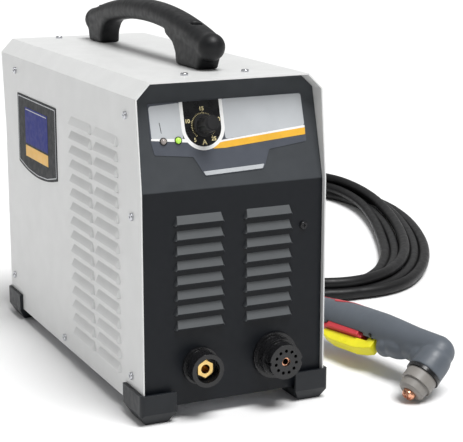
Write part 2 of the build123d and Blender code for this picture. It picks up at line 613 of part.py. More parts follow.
def torch():
    """The hand torch, along its own axes: +X back from the elbow, +Z to its upper side."""
    skull = NOZZLE * Pos(0, 0, HEAD_END / 2) * Cylinder(HEAD_R, HEAD_END) + Sphere(HEAD_R)
    outer = skull + section_loft(0, 0, 6) + torch_block(GUARD, 9) + torch_block(GUSSET, 11)
    hollow_head = NOZZLE * Pos(0, 0, HEAD_END / 2) * Cylinder(HEAD_R - 3.6, HEAD_END + 2)
    inside = hollow_head + Sphere(HEAD_R - 3.6) + section_loft(SHELL_WALL, 0, 6)
    cheeks = [
        box(at[0] - 6, at[0] + 6, side * 12.3 - 3.7, side * 12.3 + 3.7, at[1] - 8, at[1] + 6)
        for at in (LEVER_PIVOT, TRIGGER_PIVOT)
        for side in (-1, 1)
    ]
    inside = inside - cheeks
    x0, x1, half = SLOT
    shell = outer - inside - box(x0, x1, -half, half, -40, -6)
    x0, x1, half = WIDE_SLOT
    shell = shell - box(x0, x1, -half, half, -40, -5) - torch_block(RIM, 30)
    for at in (LEVER_PIVOT, TRIGGER_PIVOT):
        shell = shell - cross_pin(PIN_R, at, 14)
    shell = shell - rod(11.2, (BOOT[0] - 6, 0, 0), (BOOT[1], 0, 0))
    band = box(132, 204, -7, 7, 10, 40)
    insert = (section_loft(0, 1, 6) & band) - section_loft(INSERT, 1, 6)
    shell = shell - band.intersect(section_loft(-1, 1, 6) - section_loft(INSERT, 1, 6))
    save("torch_insert", TORCH * insert)
    save("torch_shell_left", TORCH * (shell & box(-60, 300, 0, 60, -60, 60)))
    save("torch_shell_right", TORCH * (shell & box(-60, 300, -60, 0, -60, 60)))

    trigger = torch_block([(108, -17.6), (184, -17.6), (184, -9), (109, -10.5)], 7.6)
    trigger = trigger + torch_block([(112, -17.6), (167, -17.6), (167, -10), (113, -11)], 10.9)
    save("torch_trigger", TORCH * (trigger - cross_pin(PIN_R + RUNNING, TRIGGER_PIVOT, 9)))
    profile = [
        (87, -8), (97, -8), (98, -18), (168, -18), (172, -22), (168, -26), (150, -30),
        (110, -31), (95, -28.5), (86, -25),
    ]
    lever = torch_block(profile, LEVER_HALF)
    save("safety_lever", TORCH * (lever - cross_pin(PIN_R + RUNNING, LEVER_PIVOT, 9)))
    pins = [TORCH * cross_pin(PIN_R, at, 13.5) for at in (LEVER_PIVOT, TRIGGER_PIVOT)]
    save("torch_pins", *pins)
    save("torch_switch", TORCH * box(112, 134, -5, 5, -5.8, 5))

    save("head_ring", TORCH * NOZZLE * (Pos(0, 0, 33) * Cylinder(18.9, 3.8) - Cylinder(8.3, 100)))
    cup = Pos(0, 0, 41) * Cylinder(17.2, 12) + Pos(0, 0, 51.5) * Cone(14.8, 14, 9)
    cup = cup + Pos(0, 0, 57) * Cone(13.6, 11, 2)
    cup = cup - Pos(0, 0, 41) * Cylinder(12, 16) - Cylinder(7.4, 130)
    save("shield_cup", TORCH * NOZZLE * cup)
    nozzle = Pos(0, 0, 46) * Cylinder(11.6, 2) + Pos(0, 0, 53) * Cylinder(7, 16)
    nozzle = nozzle + Pos(0, 0, 62.5) * Cone(7, 5.2, 3)
    nozzle = nozzle - Pos(0, 0, 50) * Cylinder(4.4, 20) - Cylinder(0.7, 140)
    for slot in range(4):
        nozzle = nozzle - Rot(0, 0, 45 * slot) * Pos(0, 0, 63.6) * Box(20, 1.1, 1.6)
    save("cutting_nozzle", TORCH * NOZZLE * nozzle)
    save("electrode", TORCH * NOZZLE * Pos(0, 0, 43) * Cylinder(4.2, 30))
    tube = Pos(0, 0, 12) * Cylinder(8, 31.8) - Pos(0, 0, 24) * Cylinder(4.3, 12)
    core = NOZZLE * tube + rod(5, (0, 0, 0), (78, 0, 2))
    save("torch_head_tube", TORCH * core)
    x0, x1 = BOOT
    boot = Pos((x0 + x1) / 2, 0, 0) * Rot(0, 90, 0) * Cone(11, 8.8, x1 - x0)
    save("strain_boot", TORCH * (boot - rod(4, (x0 - 1, 0, 0), (x0 + 4, 0, 0))))


def corner_radii(points):
    """For each corner, 0.45 of its shorter run over the tangent of half its turn."""
    radii = []
    for before, at, after in zip(points, points[1:], points[2:]):
        into = Vector(*at) - Vector(*before)
        out = Vector(*after) - Vector(*at)
        turn = math.radians(into.get_angle(out))
        radii.append(0.45 * min(into.length, out.length) / math.tan(turn / 2))
    return radii


def lead_tube(name, points):
    """A stretch of the lead: straight runs joined by tangent arcs."""
    radii = corner_radii(points)
    path = FilletPolyline(*points, radius=radii)
    section = Plane(origin=points[0], z_dir=Vector(*points[1]) - Vector(*points[0])) * Circle(LEAD_R)
    tube = sweep(section, path)
    print(name, "radii", [round(r) for r in radii], "length", round(path.length, 1))
    print(name, "volume over section times length", tube.volume / (math.pi * LEAD_R**2 * path.length))
    save(name, tube)


def lead():
    """The torch lead: out of the torch, round a loose oval coil, and on to its plug."""
    straight = [(TORCH * Pos(BOOT[1] + out, 0, 0)).position for out in (0, LEAD_STRAIGHT)]
    lead_tube("torch_lead", [tuple(point) for point in straight] + list(LEAD_ROUTE))
    ring = Ellipse(*COIL_OUTER) - Ellipse(*COIL_INNER)
    save("lead_coil", Pos(*COIL_AT) * Rot(0, 0, COIL_TURN) * extrude(ring, COIL_HEIGHT))
    lead_tube("lead_tail", list(TAIL_ROUTE))
    body = Pos(0, 0, 13) * Cone(9, 14, 26) + Pos(0, 0, 42) * Cylinder(14.5, 32)
    body = body + Pos(0, 0, 66) * Cylinder(13, 16)
    for contact in range(6):
        body = body - Rot(0, 0, 60 * contact) * Pos(9, 0, 72) * Cylinder(1.4, 10)
    save("plug_body", PLUG * (body - Pos(0, 0, 72) * Cylinder(3, 14)))
    nut = Pos(0, 0, 42) * (Cylinder(PLUG_R, 24) - Cylinder(14.5 + RUNNING, 30))
    for flute in range(18):
        nut = nut - Rot(0, 0, 20 * flute) * Pos(PLUG_R + 0.6, 0, 42) * Cylinder(1.5, 30)
    save("plug_nut", PLUG * nut)


def main():
    os.makedirs("parts", exist_ok=True)
    casing()
    feet()
    handle()
    controls()
    badges()
    sockets()
    rear_fittings()
    compressor()
    electronics()
    torch()
    lead()


main()
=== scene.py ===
import math

import bmesh
import bpy
from mathutils import Matrix, Vector


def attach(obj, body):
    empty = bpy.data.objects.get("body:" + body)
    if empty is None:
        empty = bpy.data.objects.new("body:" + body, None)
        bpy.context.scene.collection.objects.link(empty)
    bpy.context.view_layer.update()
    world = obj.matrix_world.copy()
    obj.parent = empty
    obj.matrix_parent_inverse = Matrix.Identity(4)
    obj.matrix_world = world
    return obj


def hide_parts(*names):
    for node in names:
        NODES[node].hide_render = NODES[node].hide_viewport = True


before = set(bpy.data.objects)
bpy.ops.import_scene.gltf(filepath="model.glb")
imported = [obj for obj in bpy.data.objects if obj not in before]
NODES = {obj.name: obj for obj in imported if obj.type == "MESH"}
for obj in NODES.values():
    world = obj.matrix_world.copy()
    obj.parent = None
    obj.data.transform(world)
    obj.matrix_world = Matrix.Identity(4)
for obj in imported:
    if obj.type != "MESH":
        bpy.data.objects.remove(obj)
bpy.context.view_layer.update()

ROOT = "unit"

# A plasma cutter with a built-in compressor, its hand torch and the torch lead. Positions are the
# CAD's own: millimetres from the middle of the casing and from the floor, moved by ORIGIN.
MM = 0.001
ORIGIN = Vector((-65.9, 26.65, 0))

# Camera: where it stands, which way it looks in degrees, and its lens and sensor in millimetres
CAMERA_AT = (-590.5, -1466.0, 520.9)
CAMERA_TURN = 25.172
CAMERA_DIP = 13.188
CAMERA_LENS = 112.4
CAMERA_SENSOR = 36
CAMERA_NEAR = 0.01
CAMERA_FAR = 100

# The side of the casing, and the leaning control face's foot and slope
SIDE_X = 100
FACE_FOOT = (0, -215, 232)
FACE_SLOPE = 25 / 93

# The torch: where its elbow is, and how it lies
ELBOW = (217.2, -259.7, 45.4)
TORCH_YAW = 100
TORCH_DIP = 2.9
TORCH_ROLL = 52.7
BOOT_END = 278
LEAD_STRAIGHT = 30


def at(x, y, z):
    """A point of the unit, in the frame's metres."""
    return (Vector((x, y, z)) + ORIGIN) * MM


def turn(degrees, axis):
    """A rotation about an axis."""
    return Matrix.Rotation(math.radians(degrees), 4, axis)


TORCH = (
    Matrix.Translation(at(*ELBOW))
    @ turn(TORCH_YAW, "Z")
    @ turn(TORCH_DIP, "Y")
    @ turn(TORCH_ROLL, "X")
    @ Matrix.Scale(MM, 4)
)
FACE_OUT = Vector((0, -1, FACE_SLOPE)).normalized()
FACE_UP = Vector((0, FACE_OUT.z, -FACE_OUT.y))
FACE_AXES = Matrix(
    ((1, 0, 0, 0), (0, FACE_UP.y, FACE_OUT.y, 0), (0, FACE_UP.z, FACE_OUT.z, 0), (0, 0, 0, 1))
)
FACE = Matrix.Translation(at(*FACE_FOOT)) @ FACE_AXES @ Matrix.Scale(MM, 4)


# ---------------------------------------------------------------- camera and cord

def camera():
    """The view of the unit from its front left, a little above."""
    eye = bpy.data.objects.new("camera", bpy.data.cameras.new("camera"))
    bpy.context.collection.objects.link(eye)
    eye.location = at(*CAMERA_AT)
    eye.rotation_euler = (math.radians(90 - CAMERA_DIP), 0, math.radians(-CAMERA_TURN))
    eye.data.sensor_fit = "HORIZONTAL"
    eye.data.sensor_width = CAMERA_SENSOR
    eye.data.lens = CAMERA_LENS
    eye.data.clip_start = CAMERA_NEAR
    eye.data.clip_end = CAMERA_FAR
    bpy.context.scene.camera = eye


# The lead: its length and its route, in metres from the middle of the casing
LEAD_RADIUS = 0.0075
LEAD_CURVE_STEPS = 8
LEAD_ROUND_STEPS = 6
LEAD_ROUTE = (
    (0.170, 0.067, 0.026), (0.187, 0.087, 0.019), (0.211, 0.098, 0.013), (0.238, 0.098, 0.0095),
    (0.260, 0.090, 0.0083),
)
TAIL_ROUTE = (
    (0.284, 0.500, 0.033), (0.240, 0.458, 0.012), (0.208, 0.420, 0.009), (0.160, 0.392, 0.014),
    (0.116, 0.378, 0.0195),
)
# the coil: an oval with its middle, slant and half sizes, the angle that it starts at, its number of
# turns, the points in each turn, and a power under 1 that makes its ends rounder
COIL_AT = (0.404, 0.378)
COIL_TURN = -24.8
COIL_REACH = (0.160, 0.334)
COIL_FIRST = -82
COIL_TURNS = 4.62
COIL_STEPS = 14
COIL_BLUNTNESS = 0.9
# each turn's size and height at its near end, right side, far end and left side
COIL_PILE = (
    (1.00, 0.0083), (1.02, 0.0083), (1.00, 0.0083), (0.93, 0.0083),
    (0.90, 0.0083), (0.745, 0.0083), (0.95, 0.0083), (0.83, 0.0083),
    (0.85, 0.0083), (0.65, 0.0083), (0.95, 0.023), (0.83, 0.023),
    (0.95, 0.0083), (0.925, 0.0083), (1.00, 0.023), (0.93, 0.023),
    (0.925, 0.021), (0.835, 0.015), (0.975, 0.0362), (1.0, 0.034),
)


def in_pile(quarters):
    """The size and height of the coil at this many quarter turns, eased between the pile's places."""
    first = math.floor(quarters)
    part = quarters - first
    part = part * part * (3 - 2 * part)
    low = COIL_PILE[first]
    high = COIL_PILE[min(first + 1, len(COIL_PILE) - 1)]
    return [a + (b - a) * part for a, b in zip(low, high)]


def blunted(part):
    """Makes an oval's ends rounder."""
    return math.copysign(abs(part) ** COIL_BLUNTNESS, part)


def coil_points():
    """The loose turns: side by side where they fan out, and piled up where they bunch."""
    points = []
    slant = math.radians(COIL_TURN)
    # the curve runs inside its control points, so they stand further out
    outside = 1 / math.cos(math.pi / COIL_STEPS)
    for step in range(1, round(COIL_TURNS * COIL_STEPS)):
        degrees = COIL_FIRST + 360 * step / COIL_STEPS
        size, height = in_pile((degrees + 90) / 90)
        angle = math.radians(degrees)
        across = COIL_REACH[0] * size * outside * blunted(math.cos(angle))
        length = COIL_REACH[1] * size * outside * blunted(math.sin(angle))
        x = COIL_AT[0] + across * math.cos(slant) - length * math.sin(slant)
        y = COIL_AT[1] + across * math.sin(slant) + length * math.cos(slant)
        points.append((x, y, height))
    return points


def torch_lead():
    """The lead from the torch's boot, round the coil and on to its plug."""
    shift = ORIGIN * MM
    start = TORCH @ Vector((BOOT_END, 0, 0))
    points = [start, TORCH @ Vector((BOOT_END + LEAD_STRAIGHT, 0, 0))]
    points += [Vector(point) + shift for point in (*LEAD_ROUTE, *coil_points(), *TAIL_ROUTE)]
    line = bpy.data.curves.new("torch_lead_line", "CURVE")
    line.dimensions = "3D"
    spline = line.splines.new("NURBS")
    spline.points.add(len(points) - 1)
    for control, point in zip(spline.points, points):
        control.co = (*point, 1)
        control.radius = LEAD_RADIUS
    spline.order_u = 3
    spline.use_endpoint_u = True
    spline.resolution_u = LEAD_CURVE_STEPS
    # each point's radius is the lead's own, in metres, so the bevel is 1
    line.bevel_depth = 1
    line.bevel_resolution = LEAD_ROUND_STEPS
    line.use_fill_caps = True
    cord = bpy.data.objects.new("torch_cable", line)
    bpy.context.collection.objects.link(cord)
    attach(cord, ROOT)
    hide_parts("torch_lead", "lead_coil", "lead_tail")
    return cord


camera()
lead = torch_lead()

# ---------------------------------------------------------------- surfaces

def node(tree, kind, settings=(), **inputs):
    """A shader node. An input is a socket to link, or a value; it is named, or is i and its number."""
    made = tree.nodes.new(kind)
    for key, value in dict(settings).items():
        setattr(made, key, value)
    for key, value in inputs.items():
        socket = made.inputs[int(key[1:])] if key[0] == "i" and key[1:].isdigit() else made.inputs[key]
        if isinstance(value, bpy.types.NodeSocket):
            tree.links.new(value, socket)
        else:
            socket.default_value = value
    return made


def noise(tree, size_mm, detail=2.0, stretch=(1, 1, 1)):
    """Noise with features of about this size, drawn out along an axis by stretch."""
    where = node(tree, "ShaderNodeTexCoord").outputs["Object"]
    moved = node(tree, "ShaderNodeMapping", Vector=where, Scale=stretch)
    where = moved.outputs["Vector"]
    made = node(tree, "ShaderNodeTexNoise", Vector=where, Scale=1 / (size_mm * MM), Detail=detail)
    return made.outputs["Fac"]


def spread(tree, value, low, high, to_low, to_high):
    """A value from low to high, eased to run from to_low to to_high."""
    made = node(tree, "ShaderNodeMapRange", {"interpolation_type": "SMOOTHSTEP"}, Value=value)
    for key, number in (("From Min", low), ("From Max", high), ("To Min", to_low), ("To Max", to_high)):
        made.inputs[key].default_value = number
    return made.outputs["Result"]


def mix(tree, part, low, high):
    """A colour between two colours."""
    made = node(tree, "ShaderNodeMix", {"data_type": "RGBA"}, i0=part, i6=low, i7=high)
    return made.outputs[2]


def shade(colour, factor):
    """A lighter or darker colour, with its alpha."""
    return (*[min(1.0, channel * factor) for channel in colour], 1.0)


# the noise values between which a surface changes
CLOUDS = (0.3, 0.7)
# how much the gloss varies, the coat's own roughness, and how strong the grain is
GLOSS_SWIRL = 0.06
COAT_ROUGHNESS = 0.15
GRAIN_STRENGTH = 0.7
# half the width of the line between two colours, in metres
COLOUR_LINE = 0.001
# how far upwards a face looks where its painted highlight starts, and where it is full: upward faces are
# painted lighter for the light that falls on them from above
PAINTED_HIGHLIGHT_SPAN = (0.3, 0.5)


def surface(
    name, colour, rough, metal=0.0, grain=0.5, depth=0.012, mottle=0.08, patch=26, rounded=0.35,
    stretch=(1, 1, 1), coat=0.0, below=None, sheen=0.5, painted_highlight=None,
):
    """A procedural surface: mottled colour, uneven gloss, a fine grain and soft edges.

    grain, patch, depth and rounded are in millimetres. below is another colour under the front's kink,
    painted_highlight is a painted highlight, the lighter colour that upward faces take in place of the
    light from above, and sheen is how strongly the surface reflects.
    """
    made = bpy.data.materials.new(name)
    made.use_nodes = True
    tree = made.node_tree
    shader = tree.nodes["Principled BSDF"]
    cloud = spread(tree, noise(tree, patch, 4), *CLOUDS, 0, 1)
    tint = mix(tree, cloud, shade(colour, 1 - mottle), shade(colour, 1 + mottle))
    if below:
        low_tint = mix(tree, cloud, shade(below, 1 - mottle), shade(below, 1 + mottle))
        place = node(tree, "ShaderNodeTexCoord").outputs["Object"]
        height = node(tree, "ShaderNodeSeparateXYZ", Vector=place).outputs["Z"]
        edge = FACE_FOOT[2] * MM
        over = spread(tree, height, edge - COLOUR_LINE, edge + COLOUR_LINE, 0, 1)
        tint = mix(tree, over, low_tint, tint)
    # painted highlight: upward faces, such as the louvres' tops, are painted lighter, standing for the
    # light that falls on them from above
    if painted_highlight:
        facing = node(tree, "ShaderNodeNewGeometry").outputs["Normal"]
        upward = node(tree, "ShaderNodeSeparateXYZ", Vector=facing).outputs["Z"]
        tint = mix(tree, spread(tree, upward, *PAINTED_HIGHLIGHT_SPAN, 0, 1), tint, shade(painted_highlight, 1))
    soft = node(tree, "ShaderNodeBevel", {"samples": 4}, Radius=rounded * MM).outputs["Normal"]
    tree.links.new(tint, shader.inputs["Base Color"])
    glossy = max(0.02, rough - GLOSS_SWIRL)
    gloss = spread(tree, noise(tree, patch / 4, 3), *CLOUDS, glossy, rough + GLOSS_SWIRL)
    tree.links.new(gloss, shader.inputs["Roughness"])
    shader.inputs["Metallic"].default_value = metal
    shader.inputs["Specular IOR Level"].default_value = sheen
    shader.inputs["Coat Weight"].default_value = coat
    shader.inputs["Coat Roughness"].default_value = COAT_ROUGHNESS
    bump = node(tree, "ShaderNodeBump", Distance=depth * MM, Strength=GRAIN_STRENGTH, Normal=soft)
    tree.links.new(noise(tree, grain, 2, stretch), bump.inputs["Height"])
    tree.links.new(bump.outputs["Normal"], shader.inputs["Normal"])
    return made


WHITE = surface(
    "white_powder_coat", (0.72, 0.725, 0.72), 0.42,
    grain=0.7, depth=0.02, mottle=0.02, rounded=0.5,
)
# the charcoal front; its upward faces get a painted highlight colour for the light from above
FRONT = surface(
    "charcoal_powder_coat", (0.056, 0.061, 0.067), 0.42,
    grain=0.6, depth=0.016, mottle=0.05, rounded=0.5,
    below=(0.0050, 0.0065, 0.0092), sheen=0.25, painted_highlight=(0.118, 0.125, 0.130),
)
REAR = surface(
    "rear_powder_coat", (0.014, 0.016, 0.020), 0.42,
    grain=0.6, depth=0.016, rounded=0.5, sheen=0.3,
)
MOULDED = surface(
    "moulded_black", (0.007, 0.0075, 0.0085), 0.46,
    grain=0.35, depth=0.022, rounded=0.8, sheen=0.3,
)
FOOT = surface(
    "moulded_feet", (0.0105, 0.0125, 0.0155), 0.42,
    grain=0.4, depth=0.016, rounded=1.0, sheen=0.35,
)
KNOB = surface(
    "knob_plastic", (0.017, 0.017, 0.018), 0.42,
    grain=0.3, depth=0.012, rounded=0.4, sheen=0.4,
)
SOCKET = surface("socket_plastic", (0.010, 0.010, 0.011), 0.26, grain=0.5, depth=0.006, rounded=0.5)
LABEL = surface(
    "label_slate", (0.078, 0.086, 0.105), 0.36,
    grain=0.3, depth=0.004, mottle=0.04, rounded=0.2,
)
SILVER = surface(
    "label_silver", (0.50, 0.52, 0.54), 0.38,
    grain=0.25, depth=0.004, mottle=0.03, rounded=0.1,
)
INK_WHITE = surface(
    "label_white", (0.86, 0.86, 0.85), 0.4,
    grain=0.25, depth=0.003, mottle=0.02, rounded=0.1,
)
INK_BLACK = surface("label_black", (0.006, 0.006, 0.007), 0.3, grain=0.25, depth=0.003, rounded=0.1)
INK_YELLOW = surface(
    "label_yellow", (0.82, 0.45, 0.045), 0.38,
    grain=0.25, depth=0.003, mottle=0.05, rounded=0.1,
)
INK_BLUE = surface(
    "badge_blue", (0.014, 0.022, 0.20), 0.5,
    sheen=0.12, grain=0.25, depth=0.003, mottle=0.05, rounded=0.1,
)
DIAL = surface("dial_print", (0.90, 0.78, 0.42), 0.45, grain=0.2, depth=0.002, mottle=0.04, rounded=0.05)
BADGE = surface(
    "badge_film", (0.014, 0.016, 0.018), 0.5,
    sheen=0.15, grain=0.3, depth=0.004, mottle=0.05, rounded=0.2,
)
TORCH_GREY = surface(
    "torch_grey", (0.098, 0.113, 0.133), 0.47,
    grain=0.3, depth=0.010, mottle=0.05, rounded=0.5,
)
TORCH_RED = surface(
    "torch_red", (0.56, 0.040, 0.052), 0.40,
    grain=0.3, depth=0.008, mottle=0.06, rounded=0.5,
)
TORCH_YELLOW = surface(
    "torch_yellow", (0.84, 0.77, 0.015), 0.38,
    grain=0.3, depth=0.008, mottle=0.05, rounded=0.6,
)
CERAMIC = surface(
    "cup_grey", (0.245, 0.231, 0.214), 0.44,
    grain=0.5, depth=0.014, mottle=0.08, rounded=0.5,
)
RUBBER = surface(
    "cable_rubber", (0.006, 0.006, 0.0065), 0.46,
    grain=1.1, depth=0.05, mottle=0.2, patch=30, sheen=0.3,
)
BOOT = surface("boot_rubber", (0.014, 0.014, 0.015), 0.55, grain=0.6, depth=0.02, mottle=0.15)
ZINC = surface(
    "zinc_plate", (0.60, 0.61, 0.64), 0.26,
    metal=1, grain=0.5, depth=0.006, mottle=0.1, patch=4,
)
STEEL = surface(
    "steel", (0.52, 0.52, 0.53), 0.28,
    metal=1, grain=0.3, depth=0.006, mottle=0.08, stretch=(1, 6, 1),
)
BLACK_STEEL = surface(
    "black_steel", (0.020, 0.020, 0.022), 0.30,
    metal=0.4, grain=0.4, depth=0.01, patch=5,
)
BRASS = surface(
    "brass", (0.82, 0.57, 0.22), 0.20,
    metal=1, grain=0.3, depth=0.008, mottle=0.1, patch=5, stretch=(1, 5, 1),
)
COPPER = surface(
    "copper", (0.86, 0.44, 0.28), 0.24,
    metal=1, grain=0.3, depth=0.01, mottle=0.12, patch=4,
)
ALUMINIUM = surface(
    "aluminium", (0.66, 0.67, 0.69), 0.36,
    metal=1, grain=0.5, depth=0.01, stretch=(1, 8, 1),
)
IRON = surface("painted_iron", (0.075, 0.082, 0.090), 0.5, grain=1.2, depth=0.08, mottle=0.15)
BOARD = surface("board_green", (0.018, 0.11, 0.045), 0.35, grain=0.5, depth=0.01, mottle=0.2, patch=6)
CORE = surface("core_dark", (0.05, 0.045, 0.042), 0.5, grain=0.9, depth=0.03, mottle=0.2)


def lens(name, colour, glow):
    """A tinted lamp lens, with a little light of its own."""
    made = surface(name, colour, 0.16, grain=0.3, depth=0.004, mottle=0.1, patch=3, coat=0.6)
    shader = made.node_tree.nodes["Principled BSDF"]
    shader.inputs["Emission Color"].default_value = (*colour, 1)
    shader.inputs["Emission Strength"].default_value = glow
    return made


GREEN = lens("green_lens", (0.42, 0.78, 0.08), 0.35)
AMBER = lens("amber_lens", (0.34, 0.30, 0.28), 0.0)

FINISHES = {
    "cover_shell": WHITE, "front_panel": FRONT, "rear_panel": REAR, "corner_feet": FOOT,
    "handle_grip": MOULDED, "current_knob": KNOB, "knob_cap": KNOB, "control_label": LABEL,
    "side_badges": BADGE, "power_led": GREEN, "fault_led": AMBER, "base_tray": ZINC,
    "chassis_shelf": ZINC, "side_screws": ZINC, "top_screws": ZINC, "black_screws": BLACK_STEEL,
    "fan_guard": BLACK_STEEL, "earth_socket_housing": SOCKET, "torch_socket_housing": SOCKET,
    "earth_socket_insert": BRASS, "earth_socket_nut": BRASS, "torch_socket_tube": COPPER,
    "fan_frame": MOULDED, "fan_rotor": MOULDED, "mains_switch_body": MOULDED, "mains_rocker": TORCH_RED,
    "cable_gland": MOULDED, "solenoid_valve": MOULDED, "potentiometer": STEEL,
    "potentiometer_shaft": STEEL, "control_board": BOARD, "power_board": BOARD, "heatsink": ALUMINIUM,
    "main_transformer": CORE, "output_choke": CORE, "compressor_crankcase": IRON,
    "compressor_head": ALUMINIUM, "compressor_motor": IRON, "compressor_shaft": STEEL,
    "compressor_fan": MOULDED, "rubber_mounts": RUBBER, "air_hose": RUBBER,
    "torch_shell_left": TORCH_GREY, "torch_shell_right": TORCH_GREY, "torch_insert": TORCH_RED,
    "torch_trigger": TORCH_RED, "safety_lever": TORCH_YELLOW, "torch_pins": BLACK_STEEL,
    "torch_switch": MOULDED, "head_ring": SOCKET, "shield_cup": CERAMIC, "cutting_nozzle": COPPER,
    "electrode": COPPER, "torch_head_tube": BRASS, "strain_boot": BOOT, "plug_body": MOULDED,
    "plug_nut": SOCKET, "torch_lead": RUBBER, "lead_coil": RUBBER, "lead_tail": RUBBER,
}


def paint(piece, finish):
    """Gives the whole piece one finish."""
    piece.data.materials.clear()
    piece.data.materials.append(finish)


for name, finish in FINISHES.items():
    slots = NODES[name].material_slots
    if slots:
        for one in slots:
            one.material = finish
    else:
        NODES[name].data.materials.append(finish)


# ---------------------------------------------------------------- making pieces

# the angle in degrees from which an edge shows as a crease
CREASE = 35
# the angles of the points round a turned piece
ROUND_STEPS = 48
ROUND_ANGLES = [2 * math.pi * step / ROUND_STEPS for step in range(ROUND_STEPS)]


def made_of(name, build, matrix=None):
    """A mesh object from what was built, moved into the frame by matrix."""
    bmesh.ops.recalc_face_normals(build, faces=build.faces)
    mesh = bpy.data.meshes.new(name)
    build.to_mesh(mesh)
    build.free()
    if matrix:
        mesh.transform(matrix)
    piece = bpy.data.objects.new(name, mesh)
    bpy.context.collection.objects.link(piece)
    return piece


def smoothed(mesh):
    """Smooth shading, with creases along the sharp edges."""
    mesh.polygons.foreach_set("use_smooth", [True] * len(mesh.polygons))
    mesh.set_sharp_from_angle(angle=math.radians(CREASE))


def keep(piece, body=ROOT, stands_for=()):
    """The piece rides on its body, and stands for these CAD nodes."""
    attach(piece, body)
    if stands_for:
        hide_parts(*stands_for)


def settled(name, source, matrix, finish):
    """A flat-shaded mesh made from a curve or text, moved into the frame by matrix."""
    bpy.context.collection.objects.link(source)
    mesh = bpy.data.meshes.new_from_object(source)
    data = source.data
    bpy.data.objects.remove(source)
    bpy.data.curves.remove(data)
    mesh.transform(matrix)
    mesh.name = name
    mesh.polygons.foreach_set("use_smooth", [False] * len(mesh.polygons))
    piece = bpy.data.objects.new(name, mesh)
    bpy.context.collection.objects.link(piece)
    paint(piece, finish)
    return piece


def plate(name, outlines, low, high, matrix, finish, edge=0.08):
    """A flat piece between two heights over a face.

    The first outline is its edge and the others are its holes. edge is the width of its bevels.
    """
    line = bpy.data.curves.new(name, "CURVE")
    line.dimensions = "2D"
    line.fill_mode = "BOTH"
    for outline in outlines:
        spline = line.splines.new("POLY")
        spline.points.add(len(outline) - 1)
        for control, (x, y) in zip(spline.points, outline):
            control.co = (x, y, 0, 1)
        spline.use_cyclic_u = True
    line.extrude = (high - low) / 2 - edge
    line.bevel_depth = edge
    line.offset = -edge
    source = bpy.data.objects.new(name, line)
    return settled(name, source, matrix @ Matrix.Translation((0, 0, (low + high) / 2)), finish)


# how thick a letter is, and how much its strokes are widened
LETTER_DEPTH = 0.12
LETTER_SPREAD = 0.07


def lettering(name, words, size, x, y, height, matrix, finish):
    """Numbers or a unit's letter, standing just over a face."""
    line = bpy.data.curves.new(name, "FONT")
    line.body = words
    line.size = size
    line.align_x = "CENTER"
    line.align_y = "CENTER"
    line.extrude = LETTER_DEPTH / 2
    line.offset = LETTER_SPREAD
    source = bpy.data.objects.new(name, line)
    return settled(name, source, matrix @ Matrix.Translation((x, y, height)), finish)


def arc(x, y, radius, first, last, steps):
    """Points on a circle between two angles in degrees."""
    angles = [math.radians(first + (last - first) * step / steps) for step in range(steps + 1)]
    return [(x + radius * math.cos(a), y + radius * math.sin(a)) for a in angles]


# the points in a rounded corner, and how many of its reaches fit on a side
CORNER_STEPS = 6
CORNER_SHARE = 2.1


def softened(points, radius):
    """The outline with rounded corners."""
    made = []
    for before, corner, after in zip(points[-1:] + points[:-1], points, points[1:] + points[:1]):
        corner = Vector(corner)
        into = Vector(before) - corner
        out = Vector(after) - corner
        reach = min(radius, into.length / CORNER_SHARE, out.length / CORNER_SHARE)
        first = corner + into.normalized() * reach
        last = corner + out.normalized() * reach
        for step in range(CORNER_STEPS + 1):
            t = step / CORNER_STEPS
            made.append(tuple(first * (1 - t) ** 2 + corner * 2 * t * (1 - t) + last * t * t))
    return made


# ---------------------------------------------------------------- control label

# The dial, the tongue behind it as (across, up the slope, radius), the tongue's white border, the
# points on its arc, and the hole for the knob's shaft as (radius, points)
DIAL_AT = (-25.5, 61)
TONGUE = (-26, 60, 19.3)
BORDER = 3.6
ARC_STEPS = 32
SHAFT_HOLE = (4.2, 24)
# where the prints start inside the film, how high they stand over the face, and how much higher the
# numbers, the ticks and the bar stand
FILM = 0.4
PRINT = 0.62
NUMBER_OVER = 0.16
TICK_OVER = 0.14
BAR_OVER = 0.4
# the numbers round the dial: the first one's angle, the step between them, their middle, how far out
# they stand across and up, and their size, and then the place and size of the unit's letter
NUMBERS = ("5", "10", "15", "20", "25")
NUMBER_FIRST = 234
NUMBER_STEP = 72
NUMBER_MIDDLE = (-25.9, 61)
NUMBER_REACH = (16.9, 16.6)
NUMBER_SIZE = 5.4
UNIT_AT = (-26, 44.8)
UNIT_SIZE = 7.2
# the ticks: how many, the first one's angle and the angle that they cover, where they start,
# their lengths, width and thickness, and which of them are long
TICKS = 37
TICK_FIRST = 230
TICK_SWEEP = 280
TICK_START = 11.7
TICK_LONG = 1.9
TICK_SHORT = 1.3
TICK_WIDTH = 0.42
TICK_DEPTH = 0.1
TICKS_PER_LONG = 9


